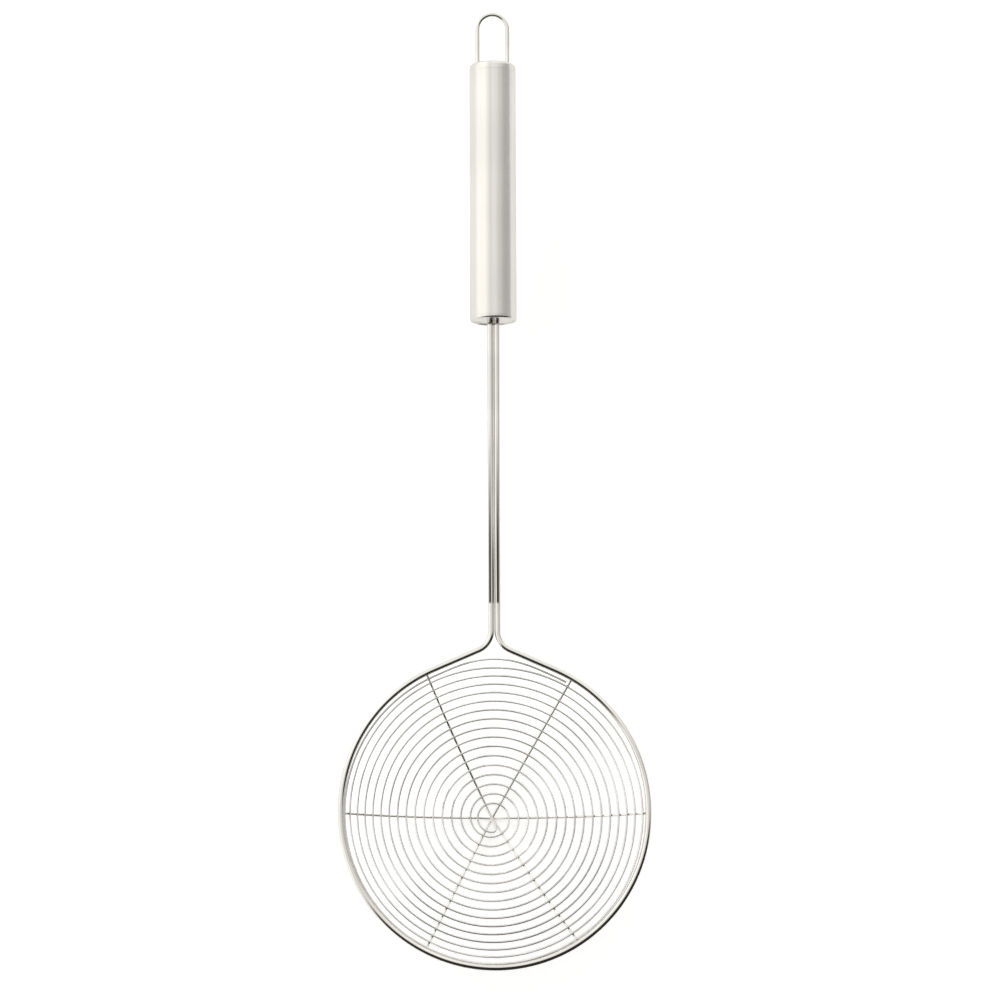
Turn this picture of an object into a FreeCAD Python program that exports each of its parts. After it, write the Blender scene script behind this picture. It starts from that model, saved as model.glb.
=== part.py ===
import FreeCAD, Part
import math
import os

# Spider skimmer: a basket of spiral wire on three spokes, a rim and shank bent from one wire,
# and a tube handle closed by two end caps, with a hanging loop.
# The bowl opens upwards, +Z. The handle runs along +Y.
# The origin is under the middle of the object, on the surface that the bowl stands on.
# Lengths are in millimetres.

# Rim and shank wire
rim_outer_diameter = 152.0
rim_wire_diameter = 3.0
rim_side_length = 1.4
shank_wire_gap = 0.15
neck_slope = math.radians(23.5)
neck_bend_radius = 10.0
shank_length = 153.4
shank_inside_handle = 30.0

# Bowl: three spokes under one wound wire
bowl_depth = 31.0
spoke_wire_diameter = 1.2
spoke_end_drop = 0.6
spoke_dip_reach = 9.0
spoke_headings = {
    "spoke_upper_left": (math.radians(116), math.radians(303)),
    "spoke_upper_right": (math.radians(60), math.radians(243)),
    "spoke_crosswise": (math.radians(180), math.radians(0)),
}
spiral_wire_diameter = 1.0
first_turn_radius = 7.1
first_ring_turns = 0.5
rising_turns = 15.5
last_turn = 16.08
neck_bulge = 2.4
neck_bulge_turns = 0.07
tail_end_x = -0.5
tail_end_y = -1.1
tail_heading = math.radians(-37)
tail_tuck = 0.45
tail_rise = math.radians(14)
weld_gap = 0.05

# Handle
tube_outer_diameter = 23.0
tube_wall = 0.8
tube_length = 123.5
cap_fit_gap = 0.05
cap_spigot_length = 8.0
cap_spigot_wall = 1.0
upper_cap_height = 4.0
upper_cap_shoulder = 2.8
lower_lip_rounding = 1.9
lower_dish_depth = 1.6
lower_disc_thickness = 1.2
wire_hole_gap = 0.1

# Hanging loop
loop_wire_diameter = 2.2
loop_outer_width = 17.0
loop_rise = 26.8
loop_inside_handle = 12.0

# Flat sides that stand for round sections
thick_wire_sides = 8
thin_wire_sides = 4
rounding_steps = 2

# Measuring the winding's gap to itself
gap_samples = 2400
gap_neighbour_diameters = 5

# Sizes that follow from those above
rim_wire_radius = rim_wire_diameter / 2
rim_radius = rim_outer_diameter / 2 - rim_wire_radius
leg_x = rim_wire_radius + shank_wire_gap / 2
neck_turn = math.pi / 2 - neck_slope
neck_tangent = neck_bend_radius * math.tan(neck_turn / 2)
neck_corner = rim_side_length + (rim_radius - leg_x * math.sin(neck_slope)) / math.cos(neck_slope)
loop_radius = (loop_outer_width - loop_wire_diameter) / 2
tube_radius = tube_outer_diameter / 2
spigot_radius = tube_radius - tube_wall - cap_fit_gap
spigot_bore = spigot_radius - cap_spigot_wall

# Places along the handle, counted from the rim's centre until the rim itself is placed
neck_to_rim = neck_corner + neck_tangent
loop_to_rim = (neck_to_rim + shank_length + lower_lip_rounding + tube_length
               + upper_cap_height + loop_rise)
rim_y = (rim_outer_diameter / 2 - loop_to_rim) / 2
neck_y = rim_y + neck_to_rim
tube_start = neck_y + shank_length + lower_lip_rounding
tube_end = tube_start + tube_length
handle_end = tube_end + upper_cap_height

# The bowl's spheres: spokes outside, spiral inside them, rim wire where the spokes end
spoke_step = spoke_wire_diameter + weld_gap
pole_z = spoke_wire_diameter / 2 + (len(spoke_headings) - 1) * spoke_step
rim_z = pole_z + bowl_depth
spoke_sphere = ((bowl_depth ** 2 + rim_radius ** 2 - spoke_end_drop ** 2)
                / (2 * (bowl_depth - spoke_end_drop)))
spiral_sphere = spoke_sphere - (spiral_wire_diameter + spoke_wire_diameter) / 2 - weld_gap
rim_sphere = spoke_sphere - spoke_end_drop
rim_lean = math.asin(rim_radius / rim_sphere)
spoke_end_back = (rim_wire_radius + weld_gap) / spoke_sphere
rim_to_spiral = (rim_wire_diameter + spiral_wire_diameter) / 2 + weld_gap
last_turn_lean = rim_lean - math.acos(
    (spiral_sphere ** 2 + rim_sphere ** 2 - rim_to_spiral ** 2) / (2 * spiral_sphere * rim_sphere))
spiral_pitch = (spiral_sphere * last_turn_lean - first_turn_radius) / rising_turns

up = FreeCAD.Vector(0, 0, 1)
along_handle = FreeCAD.Vector(0, 1, 0)
bowl_centre = FreeCAD.Vector(0, rim_y, pole_z + spoke_sphere)


def rim_plane_point(x, y):
    """A point at the height of the rim, the shank and the handle's axis."""
    return FreeCAD.Vector(x, y, rim_z)


def line(start, end):
    return Part.LineSegment(start, end).toShape()


def arc_by_corner(start, corner, end):
    """The arc from start to end whose end tangents meet at corner."""
    middle = (start + end) / 2
    half_chord = (end - start).Length / 2
    side = (corner - start).Length
    crown = middle + (corner - middle) * (half_chord / (half_chord + side))
    return Part.Arc(start, crown, end).toShape()


def biarc(start, start_way, end, end_way):
    """Two arcs that leave start along start_way, meet smoothly and reach end along end_way."""
    step = end - start
    linear = 2 * step.dot(start_way + end_way)
    square = 2 * (1 - start_way.dot(end_way))
    side = 2 * step.dot(step) / (linear + math.sqrt(linear ** 2 + 4 * square * step.dot(step)))
    first_corner = start + start_way * side
    second_corner = end - end_way * side
    join = (first_corner + second_corner) / 2
    return [arc_by_corner(start, first_corner, join), arc_by_corner(join, second_corner, end)]


def biarc_chain(knots):
    """The edges through a list of points, each given with the way that the wire runs there."""
    edges = []
    for (start, start_way), (end, end_way) in zip(knots, knots[1:]):
        edges += biarc(start, start_way, end, end_way)
    return edges


def swept_wire(edges, diameter, sides):
    """A wire of one diameter along joined edges, with a corner of its section underneath."""
    first = edges[0]
    start = first.valueAt(first.FirstParameter)
    way = first.tangentAt(first.FirstParameter)
    across = way.cross(up).normalize()
    under = way.cross(across)
    corners = []
    for side in range(sides):
        angle = 2 * math.pi * side / sides
        corners.append(start + (under * math.cos(angle) + across * math.sin(angle)) * (diameter / 2))
    section = Part.makePolygon(corners + corners[:1])
    return Part.Wire(edges).makePipeShell([section], True, False)


def bowl_point(sphere, heading, lean):
    """A point on one of the bowl's spheres, lean away from the bottom."""
    across = sphere * math.sin(lean)
    drop = sphere * math.cos(lean)
    return bowl_centre + FreeCAD.Vector(across * math.cos(heading), across * math.sin(heading), -drop)


def uphill(heading, lean):
    """The way from the bowl's bottom towards the rim."""
    level = math.cos(lean)
    return FreeCAD.Vector(level * math.cos(heading), level * math.sin(heading), math.sin(lean))


def rim_and_shank_wire():
    """One wire: a leg of the shank, the neck, the rim round the bowl, and back up the other leg."""
    leg_end = tube_start + shank_inside_handle
    side_edges = []
    for side in (-1, 1):
        slope_way = FreeCAD.Vector(side * math.cos(neck_slope), -math.sin(neck_slope), 0)
        corner = rim_plane_point(side * leg_x, rim_y + neck_corner)
        bend_start = corner + along_handle * neck_tangent
        bend_end = corner + slope_way * neck_tangent
        rim_points = []
        for around in (neck_slope, (neck_slope + math.pi / 2) / 2, math.pi / 2):
            rim_points.append(rim_plane_point(side * rim_radius * math.sin(around),
                                              rim_y + rim_side_length + rim_radius * math.cos(around)))
        side_edges.append([
            line(rim_plane_point(side * leg_x, leg_end), bend_start),
            arc_by_corner(bend_start, corner, bend_end),
            line(bend_end, rim_points[0]),
            Part.Arc(*rim_points).toShape(),
            line(rim_points[-1], rim_plane_point(side * rim_radius, rim_y)),
        ])
    rim = Part.Arc(rim_plane_point(-rim_radius, rim_y), rim_plane_point(0, rim_y - rim_radius),
                   rim_plane_point(rim_radius, rim_y)).toShape()
    back_up = []
    for edge in reversed(side_edges[1]):
        back_up.append(edge.reversed())
    return swept_wire(side_edges[0] + [rim] + back_up, rim_wire_diameter, thick_wire_sides)


def spoke_end_lean(heading):
    """How far up the bowl a spoke ends, just short of the rim wire; the rim is a little longer than wide."""
    reach = rim_radius + rim_side_length * max(math.sin(heading), 0)
    return math.atan2(reach, spoke_sphere - bowl_depth) - spoke_end_back


def spoke(headings, layer):
    """A wire under the bowl from rim to rim, which dips below the spokes above it at the centre."""
    dip_lean = spoke_dip_reach / spoke_sphere
    knots = []
    for heading, lean in ((headings[0], spoke_end_lean(headings[0])), (headings[0], dip_lean)):
        knots.append((bowl_point(spoke_sphere, heading, lean), uphill(heading, lean) * -1))
    crossing = bowl_point(spoke_sphere, headings[0], 0) - up * (layer * spoke_step)
    knots.append((crossing, (uphill(headings[1], 0) - uphill(headings[0], 0)).normalize()))
    for heading, lean in ((headings[1], dip_lean), (headings[1], spoke_end_lean(headings[1]))):
        knots.append((bowl_point(spoke_sphere, heading, lean), uphill(heading, lean)))
    return swept_wire(biarc_chain(knots), spoke_wire_diameter, thin_wire_sides)


def spiral_point(turn):
    """The winding's centre line: it rises one pitch a turn, clockwise, and closes along the rim."""
    grown = min(max(turn, 0), rising_turns)
    lean = (first_turn_radius + spiral_pitch * grown) / spiral_sphere
    heading = math.pi / 2 - 2 * math.pi * turn
    from_neck = abs(turn - round(last_turn)) / neck_bulge_turns
    bulge = 0
    if from_neck < 1:
        bulge = neck_bulge * (1 + math.cos(math.pi * from_neck)) / 2
    return bowl_point(spiral_sphere, heading, lean) + uphill(heading, 0) * bulge


def spiral_knot(turn):
    """A point of the winding and the way that the wire runs there."""
    nudge_share = 0.0001
    way = spiral_point(turn + nudge_share) - spiral_point(turn)
    return spiral_point(turn), way.normalize()


def spiral_wire():
    """The basket: a tail tucked in at the centre, a ring, the rising turns and the turn along the rim."""
    tail_radius = math.hypot(tail_end_x, tail_end_y)
    tail_end = bowl_point(spiral_sphere, math.atan2(tail_end_y, tail_end_x), tail_radius / spiral_sphere)
    knots = [(tail_end - up * tail_tuck, uphill(tail_heading, tail_rise))]
    quarters = round(4 * (rising_turns + first_ring_turns)) + 1
    for quarter in range(quarters + 1):
        knots.append(spiral_knot(quarter / 4 - first_ring_turns))
    neck = round(last_turn)
    for turn in (neck - neck_bulge_turns, neck, neck + neck_bulge_turns, last_turn):
        knots.append(spiral_knot(turn))
    edges = biarc_chain(knots)
    print("spiral pitch", round(spiral_pitch, 3))
    print("spiral least gap to itself", round(least_gap(edges, spiral_wire_diameter), 3))
    return swept_wire(edges, spiral_wire_diameter, thin_wire_sides)


def least_gap(edges, diameter):
    """The least clear distance between stretches of one wire, measured on points along it."""
    path = Part.Wire(edges)
    points = path.discretize(Number=gap_samples)
    skip = math.ceil(gap_neighbour_diameters * diameter * gap_samples / path.Length)
    nearest = path.Length
    for index, point in enumerate(points):
        for other in points[index + skip:]:
            nearest = min(nearest, point.distanceToPoint(other))
    return nearest - diameter


def turned(profile_edges):
    """A solid turned about the handle's axis from edges that enclose its half section."""
    section = Part.Face(Part.Wire(profile_edges))
    return section.revolve(rim_plane_point(0, 0), along_handle, 360)


def outline(points):
    """Straight edges through points, each given as a radius and a place along the handle."""
    corners = [rim_plane_point(radius, y) for radius, y in points]
    return [line(start, end) for start, end in zip(corners, corners[1:])]


def quarter_round(*corner_points):
    """A rounded corner of a half section, in flat steps, from the points before, at and after it."""
    start, corner, end = [rim_plane_point(radius, y) for radius, y in corner_points]
    centre = start + end - corner
    points = []
    for step in range(rounding_steps + 1):
        angle = math.pi / 2 * step / rounding_steps
        points.append(centre + (start - centre) * math.cos(angle) + (end - centre) * math.sin(angle))
    return [line(first, last) for first, last in zip(points, points[1:])]


def handle_tube():
    start = rim_plane_point(0, tube_start)
    outside = Part.makeCylinder(tube_radius, tube_length, start, along_handle)
    bore = Part.makeCylinder(tube_radius - tube_wall, tube_length, start, along_handle)
    return outside.cut(bore)


def wire_holes(half_spacing, diameter, start, end):
    """Two round holes along the handle, half_spacing each side of its axis."""
    holes = []
    for x in (-half_spacing, half_spacing):
        holes.append(Part.makeCylinder(diameter / 2 + wire_hole_gap, end - start,
                                       rim_plane_point(x, start), along_handle))
    return holes


def upper_end_cap():
    """A cap with a rounded shoulder and a spigot in the tube, holed for the loop's legs."""
    shoulder_radius = tube_radius - upper_cap_shoulder
    shoulder_start = handle_end - upper_cap_shoulder
    skin = tube_radius - spigot_bore
    profile = outline([
        (0, handle_end - skin), (0, handle_end), (shoulder_radius, handle_end)])
    profile += quarter_round((shoulder_radius, handle_end), (tube_radius, handle_end),
                             (tube_radius, shoulder_start))
    profile += outline([
        (tube_radius, shoulder_start), (tube_radius, tube_end), (spigot_radius, tube_end),
        (spigot_radius, tube_end - cap_spigot_length), (spigot_bore, tube_end - cap_spigot_length),
        (spigot_bore, handle_end - skin), (0, handle_end - skin)])
    return turned(profile).cut(wire_holes(loop_radius, loop_wire_diameter, tube_end, handle_end))


def lower_end_cap():
    """A cap with a rounded lip and a sunk disc, holed for the shank's legs."""
    lip_end = tube_start - lower_lip_rounding
    dish_radius = tube_radius - lower_lip_rounding
    disc_face = lip_end + lower_dish_depth
    disc_back = disc_face + lower_disc_thickness
    spigot_end = tube_start + cap_spigot_length
    profile = outline([
        (0, disc_back), (spigot_bore, disc_back), (spigot_bore, spigot_end), (spigot_radius, spigot_end),
        (spigot_radius, tube_start), (tube_radius, tube_start)])
    profile += quarter_round((tube_radius, tube_start), (tube_radius, lip_end), (dish_radius, lip_end))
    profile += outline([(dish_radius, lip_end), (dish_radius, disc_face), (0, disc_face), (0, disc_back)])
    return turned(profile).cut(wire_holes(leg_x, rim_wire_diameter, lip_end, spigot_end))


def hanging_loop():
    """A U of wire: two legs that end inside the handle, and a half circle."""
    leg_start = handle_end - loop_inside_handle
    crown_y = handle_end + loop_rise - loop_wire_diameter / 2
    bend_y = crown_y - loop_radius
    left_bend = rim_plane_point(-loop_radius, bend_y)
    right_bend = rim_plane_point(loop_radius, bend_y)
    edges = [
        line(rim_plane_point(-loop_radius, leg_start), left_bend),
        Part.Arc(left_bend, rim_plane_point(0, crown_y), right_bend).toShape(),
        line(right_bend, rim_plane_point(loop_radius, leg_start)),
    ]
    return swept_wire(edges, loop_wire_diameter, thick_wire_sides)


pieces = {
    "rim_and_shank_wire": rim_and_shank_wire(),
    "spiral_wire": spiral_wire(),
    "handle_tube": handle_tube(),
    "lower_end_cap": lower_end_cap(),
    "upper_end_cap": upper_end_cap(),
    "hanging_loop": hanging_loop(),
}
for layer, (name, headings) in enumerate(spoke_headings.items()):
    pieces[name] = spoke(headings, layer)

os.makedirs("parts", exist_ok=True)
for name, shape in pieces.items():
    shape.exportStep("parts/" + name + ".step")
    print(name, "valid", shape.isValid(), "solids", len(shape.Solids), "volume", round(shape.Volume, 2))
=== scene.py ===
import math

import bmesh
import bpy
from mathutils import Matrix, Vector


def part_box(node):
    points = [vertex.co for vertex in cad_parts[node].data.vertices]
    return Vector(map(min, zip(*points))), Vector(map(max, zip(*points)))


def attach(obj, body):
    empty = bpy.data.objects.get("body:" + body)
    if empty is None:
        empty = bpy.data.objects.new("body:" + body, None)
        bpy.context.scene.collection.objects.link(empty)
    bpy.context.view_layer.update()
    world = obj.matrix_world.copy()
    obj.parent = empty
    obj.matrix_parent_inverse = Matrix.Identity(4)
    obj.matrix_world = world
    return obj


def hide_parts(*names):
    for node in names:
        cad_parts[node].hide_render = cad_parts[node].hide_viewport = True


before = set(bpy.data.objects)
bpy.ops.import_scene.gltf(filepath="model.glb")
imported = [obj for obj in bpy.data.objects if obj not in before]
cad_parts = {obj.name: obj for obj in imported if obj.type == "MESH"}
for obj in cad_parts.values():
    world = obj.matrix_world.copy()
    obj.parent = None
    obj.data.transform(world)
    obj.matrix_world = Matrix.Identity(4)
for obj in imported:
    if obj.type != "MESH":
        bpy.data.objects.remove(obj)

bl_info = {
    "name": "Spider Skimmer",
    "version": (1, 0, 0),
    "blender": (4, 5, 0),
    "location": "3D View > Sidebar > Skimmer",
    "description": "Builds a wire spider skimmer and its studio around the packed frame",
    "category": "Object",
}

MM = 0.001
BODY = "root"
UP = Vector((0, 0, 1))

# Places and sizes read from the frame, metres
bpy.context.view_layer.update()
RIM_LOW, RIM_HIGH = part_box("rim_and_shank_wire")
TUBE_LOW, TUBE_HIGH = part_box("handle_tube")
LOWER_CAP_LOW, LOWER_CAP_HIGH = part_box("lower_end_cap")
UPPER_CAP_LOW, UPPER_CAP_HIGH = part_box("upper_end_cap")
LOOP_LOW, LOOP_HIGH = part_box("hanging_loop")
LOW_SPOKE_LOW, LOW_SPOKE_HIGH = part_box("spoke_crosswise")
MIDDLE_SPOKE_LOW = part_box("spoke_upper_right")[0]
TOP_SPOKE_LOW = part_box("spoke_upper_left")[0]

AXIS_Z = (RIM_LOW.z + RIM_HIGH.z) / 2
RIM_WIRE_RADIUS = (RIM_HIGH.z - RIM_LOW.z) / 2
RIM_RADIUS = (RIM_HIGH.x - RIM_LOW.x) / 2 - RIM_WIRE_RADIUS
RIM_Y = RIM_LOW.y + RIM_WIRE_RADIUS + RIM_RADIUS
TUBE_RADIUS = (TUBE_HIGH.x - TUBE_LOW.x) / 2
LOOP_WIRE_RADIUS = (LOOP_HIGH.z - LOOP_LOW.z) / 2
LOOP_RADIUS = (LOOP_HIGH.x - LOOP_LOW.x) / 2 - LOOP_WIRE_RADIUS
SPOKE_RADIUS = (LOW_SPOKE_HIGH.y - LOW_SPOKE_LOW.y) / 2
SPOKE_STEP = TOP_SPOKE_LOW.z - MIDDLE_SPOKE_LOW.z
POLE_Z = TOP_SPOKE_LOW.z + SPOKE_RADIUS

# Neck: the two shank legs spread into the rim, which is a little longer than wide
SHANK_GAP = 0.15 * MM
NECK_SLOPE = math.radians(23.5)
RIM_SIDE = 1.4 * MM
NECK_BEND_RADIUS = 10 * MM
LEG_X = RIM_WIRE_RADIUS + SHANK_GAP / 2
NECK_TURN = math.pi / 2 - NECK_SLOPE
NECK_HEIGHT = (RIM_RADIUS - LEG_X * math.sin(NECK_SLOPE)) / math.cos(NECK_SLOPE)
NECK_CORNER_Y = RIM_Y + RIM_SIDE + NECK_HEIGHT
NECK_START_Y = NECK_CORNER_Y + NECK_BEND_RADIUS * math.tan(NECK_TURN / 2)

# Bowl: the sphere that the spokes lie on, and their headings from the top layer down
WELD_GAP = 0.05 * MM
SPOKE_END_DROP = 0.6 * MM
SPOKE_DIP_REACH = 9 * MM
BOWL_DEPTH = AXIS_Z - POLE_Z
SPOKE_SPHERE = (
    (BOWL_DEPTH ** 2 + RIM_RADIUS ** 2 - SPOKE_END_DROP ** 2) / (2 * (BOWL_DEPTH - SPOKE_END_DROP)))
BOWL_CENTRE = Vector((0, RIM_Y, POLE_Z + SPOKE_SPHERE))
RIM_LEAN = math.asin(RIM_RADIUS / (SPOKE_SPHERE - SPOKE_END_DROP))
SPOKE_END_BACK = (RIM_WIRE_RADIUS + WELD_GAP) / SPOKE_SPHERE
SPOKE_HEADINGS = {
    "spoke_upper_left": (math.radians(116), math.radians(303)),
    "spoke_upper_right": (math.radians(60), math.radians(243)),
    "spoke_crosswise": (math.radians(180), math.radians(0)),
}

# Wound wire: a "?"-shaped tail, a ring, rising turns and a last ring under the rim
FIRST_TURN_RADIUS = 7.1 * MM
TAIL_START_TURN = -0.5
RISING_TURNS = 15.5
LAST_TURN = 16.08
NECK_TURN_NUMBER = 16
NECK_BULGE = 2.4 * MM
NECK_BULGE_TURNS = 0.07
TAIL_END = Vector((-0.5 * MM, -1.1 * MM, 0))
TAIL_TUCK = 0.45 * MM
TAIL_HEADING = math.radians(-37)
TAIL_RISE = math.radians(14)
TAIL_PULL = 9 * MM

# Welds: least and most of the length and width that a speck gets
WELD_LEAST_SHARE = 0.8
WELD_MOST_SHARE = 1.15

# Handle: tube, shoulder of the upper cap, lip and sunk disc of the lower cap, and their spigots
TUBE_WALL = 0.8 * MM
SEAM_WIDTH = 0.03 * MM
SEAM_DEPTH = 0.03 * MM
SHOULDER = 1.8 * MM
LIP_ROUNDING = 1.0 * MM
DISH_DEPTH = 0.5 * MM
DISC_THICKNESS = 1.2 * MM
SPIGOT_WALL = 1.0 * MM
WIRE_HOLE_GAP = 0.1 * MM
TUBE_BORE = TUBE_RADIUS - TUBE_WALL
SPIGOT_RADIUS = TUBE_BORE - WELD_GAP
SPIGOT_BORE = SPIGOT_RADIUS - SPIGOT_WALL

# Fineness of the meshes
LATHE_STEPS = 96
ROUNDING_STEPS = 8
BEND_STEPS = 16
RIM_STEPS = 48
LOOP_STEPS = 40
SPIRAL_STEPS_PER_TURN = 96
TAIL_STEPS = 48
SPOKE_STEPS = 28
DIP_STEPS = 14
THICK_SIDES = 24
SPOKE_SIDES = 14
SPIRAL_SIDES = 12
CUTTER_SIDES = 40
SPECK_SEGMENTS = 10
SPECK_RINGS = 6
UNIT_SPECK_RADIUS = 0.5
SHARP_ANGLE = math.radians(30)
MERGE_DISTANCE = 0.0001 * MM

# Steel: its tint at a glancing angle, and the character of its streaks and smudges
EDGE_TINT = (0.90, 0.90, 0.89)
NOISE_MIDDLE = 0.5
STREAK_CONTRAST = 2.2
STREAK_DETAIL = 3.0
STREAK_ROUGHNESS = 0.6
SMUDGE_DETAIL = 2.0
SMUDGE_ROUGHNESS = 0.5
SMUDGE_STARTS = 0.35
SMUDGE_FULL = 0.65

# Painted dark reflection lines along the wires: three on the legs above the neck, and a faint one on the
# tube
LEG_LINES_ABOVE_NECK = 14.5 * MM
LEG_LINES_END = 1.5 * MM
LEG_LINES_LOW = NECK_START_Y + LEG_LINES_ABOVE_NECK
LEG_LINE_CORE_SHARE = 0.4
OUTER_LINE_SHARE = -0.33
INNER_LINE_SHARE = 0.65
RIGHT_LINE_SHARE = 0.08
OUTER_LINE_X = -LEG_X + OUTER_LINE_SHARE * RIM_WIRE_RADIUS
INNER_LINE_X = -LEG_X + INNER_LINE_SHARE * RIM_WIRE_RADIUS
RIGHT_LINE_X = LEG_X + RIGHT_LINE_SHARE * RIM_WIRE_RADIUS
LEG_REFLECTION_LINES = (
    {"middle_x": OUTER_LINE_X, "half_width": 0.75 * MM, "full_to": 22 * MM, "gone_at": 96 * MM},
    {"middle_x": INNER_LINE_X, "half_width": 0.45 * MM, "full_to": 15 * MM, "gone_at": 42 * MM},
    {"middle_x": RIGHT_LINE_X, "half_width": 0.80 * MM, "full_to": 22 * MM, "gone_at": 96 * MM},
)
# The tube's faint painted dark reflection line
TUBE_REFLECTION_X = -1.6 * MM
TUBE_REFLECTION_HALF_WIDTH = 1.0 * MM
TUBE_REFLECTION_SHARE = 0.08

# Floor: pale and faintly glowing, but dark in reflections past a line in front of the bowl
FLOOR_SIDE = 8.0
FLOOR_DROP = 0.3 * MM
FLOOR_GLOW = 0.5
FLOOR_ROUGHNESS = 0.9
DARK_FLOOR_WAY = Vector((0.42, -0.80, 0)).normalized()
DARK_FLOOR_START = 235 * MM
DARK_FLOOR_FULL = 255 * MM
DARK_FLOOR_SHARE = 0.03

# Light tent: its levels low and overhead, and patches that change them
TENT_COLOUR = (1.0, 0.99, 0.97)
TENT_LOW_LEVEL = 0.82
TENT_TOP_LEVEL = 0.74
TENT_TOP_CORE = 0.9
# Each patch: the way it lies, cosines of the angles out to its edge and core, and the change of light
TENT_PATCHES = {
    "bright left": ((-0.93, 0.15, 0.36), 0.63, 0.92, 1.72),
    "dim right": ((0.97, 0.12, 0.20), 0.74, 0.97, 0.73),
    "bright back": ((0.00, 0.90, 0.45), 0.40, 0.90, 1.60),
    "dark front": ((0.30, -0.89, 0.34), 0.34, 0.48, 0.04),
}
SOFTBOX_PLACE = Vector((0, 0.3, 4.0))
SOFTBOX_SIDE = 3.0
SOFTBOX_POWER = 4

# Camera: where it looks, from which side, and the width of the picture there
CAMERA_AIM = Vector((2.99 * MM, -7.9 * MM, AXIS_Z))
CAMERA_AZIMUTH = math.radians(-17.3)
CAMERA_ELEVATION = math.radians(81.0)
CAMERA_ROLL = math.radians(17.3)
PICTURE_WIDTH = 488.9 * MM
SENSOR_WIDTH = 36.0

# Sockets of nodes that repeat a socket's name, by number
MIX_MASK = 0
MIX_UNDER = 6
MIX_OVER = 7
MIX_COLOUR = 2
RANDOM_LEAST = 2
RANDOM_MOST = 3
RANDOM_FLOAT = 1


# Properties

class SkimmerSizes(bpy.types.PropertyGroup):
    """Sizes of the skimmer and its picture"""
    spiral_wire: bpy.props.FloatProperty(
        name="Winding wire", description="Diameter of the wire wound into the bowl",
        default=1.0 * MM, unit="LENGTH")
    weld_length: bpy.props.FloatProperty(
        name="Weld length", description="Length of a weld speck along its spoke",
        default=1.4 * MM, unit="LENGTH")
    weld_seed: bpy.props.IntProperty(
        name="Weld seed", description="Changes the sizes of the weld specks", default=4)
    camera_distance: bpy.props.FloatProperty(
        name="Camera distance", description="From the camera to the point that it looks at",
        default=2.2, unit="LENGTH")


class SkimmerFinish(bpy.types.PropertyGroup):
    """Colours of the skimmer and its floor"""
    polished_colour: bpy.props.FloatVectorProperty(
        name="Polished wire", description="Bright drawn steel of the rim, shank and loop",
        subtype="COLOR", size=3, min=0, max=1, default=(0.76, 0.745, 0.705))
    basket_colour: bpy.props.FloatVectorProperty(
        name="Basket wire", description="Steel of the wound wire",
        subtype="COLOR", size=3, min=0, max=1, default=(0.79, 0.78, 0.76))
    spoke_colour: bpy.props.FloatVectorProperty(
        name="Spokes", description="Browner steel of the spokes",
        subtype="COLOR", size=3, min=0, max=1, default=(0.84, 0.82, 0.78))
    satin_colour: bpy.props.FloatVectorProperty(
        name="Satin steel", description="Brushed steel of the handle and its caps",
        subtype="COLOR", size=3, min=0, max=1, default=(0.74, 0.725, 0.685))
    # Colour of the painted dark reflection lines on the lower shank and the tube
    painted_reflection_colour: bpy.props.FloatVectorProperty(
        name="Dark lines", description="Dark lengthwise lines of the lower shank and the tube",
        subtype="COLOR", size=3, min=0, max=1, default=(0.05, 0.046, 0.036))
    # Weld specks: the beads are real, their dark colour is painted contact shade at the crossings
    weld_and_shade_colour: bpy.props.FloatVectorProperty(
        name="Welds", description="Burnt steel of the weld specks",
        subtype="COLOR", size=3, min=0, max=1, default=(0.10, 0.085, 0.07))
    floor_colour: bpy.props.FloatVectorProperty(
        name="Floor", description="Pale studio floor",
        subtype="COLOR", size=3, min=0, max=1, default=(0.92, 0.92, 0.92))


# Node helpers

def put(tree, kind, sockets, **options):
    """Adds a node with its options; sockets maps input names or numbers to values or links."""
    made = tree.nodes.new(kind)
    for option, value in options.items():
        setattr(made, option, value)
    for key, value in sockets.items():
        if isinstance(value, bpy.types.NodeSocket):
            tree.links.new(value, made.inputs[key])
        else:
            made.inputs[key].default_value = value
    return made


def new_tree(name, kind, inputs, outputs):
    """A node group with named sockets; returns it with its input and output nodes."""
    tree = bpy.data.node_groups.new(name, kind)
    for in_out, sockets in (("INPUT", inputs), ("OUTPUT", outputs)):
        for socket_name, socket_kind in sockets.items():
            tree.interface.new_socket(name=socket_name, in_out=in_out, socket_type=socket_kind)
    return tree, tree.nodes.new("NodeGroupInput"), tree.nodes.new("NodeGroupOutput")


def maths(tree, operation, *values, clamp=False):
    """Result of one maths operation on values or links."""
    made = put(tree, "ShaderNodeMath", dict(enumerate(values)), operation=operation, use_clamp=clamp)
    return made.outputs["Value"]


def ramp(tree, value, start, end, low=0.0, high=1.0, shape="LINEAR"):
    """Goes from low to high while the value goes from start to end."""
    made = put(tree, "ShaderNodeMapRange", {
        "Value": value, "From Min": start, "From Max": end, "To Min": low, "To Max": high},
        interpolation_type=shape)
    return made.outputs["Result"]


def reach(tree, vector, way):
    """How far a vector goes along a way of length 1."""
    made = put(tree, "ShaderNodeVectorMath", {0: vector, 1: way}, operation="DOT_PRODUCT")
    return made.outputs["Value"]


def blend(tree, mask, under, over):
    """Colour that goes from one colour to another with a mask."""
    made = put(tree, "ShaderNodeMix", {
        MIX_MASK: mask, MIX_UNDER: under, MIX_OVER: over}, data_type="RGBA")
    return made.outputs[MIX_COLOUR]


def opaque(colour, share=1.0):
    """A share of a colour, as a colour socket takes it."""
    return (*(channel * share for channel in colour), 1)


def object_place(tree):
    """The Object coordinates of a material."""
    return put(tree, "ShaderNodeTexCoord", {}).outputs["Object"]


# Shared material effects

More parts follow.
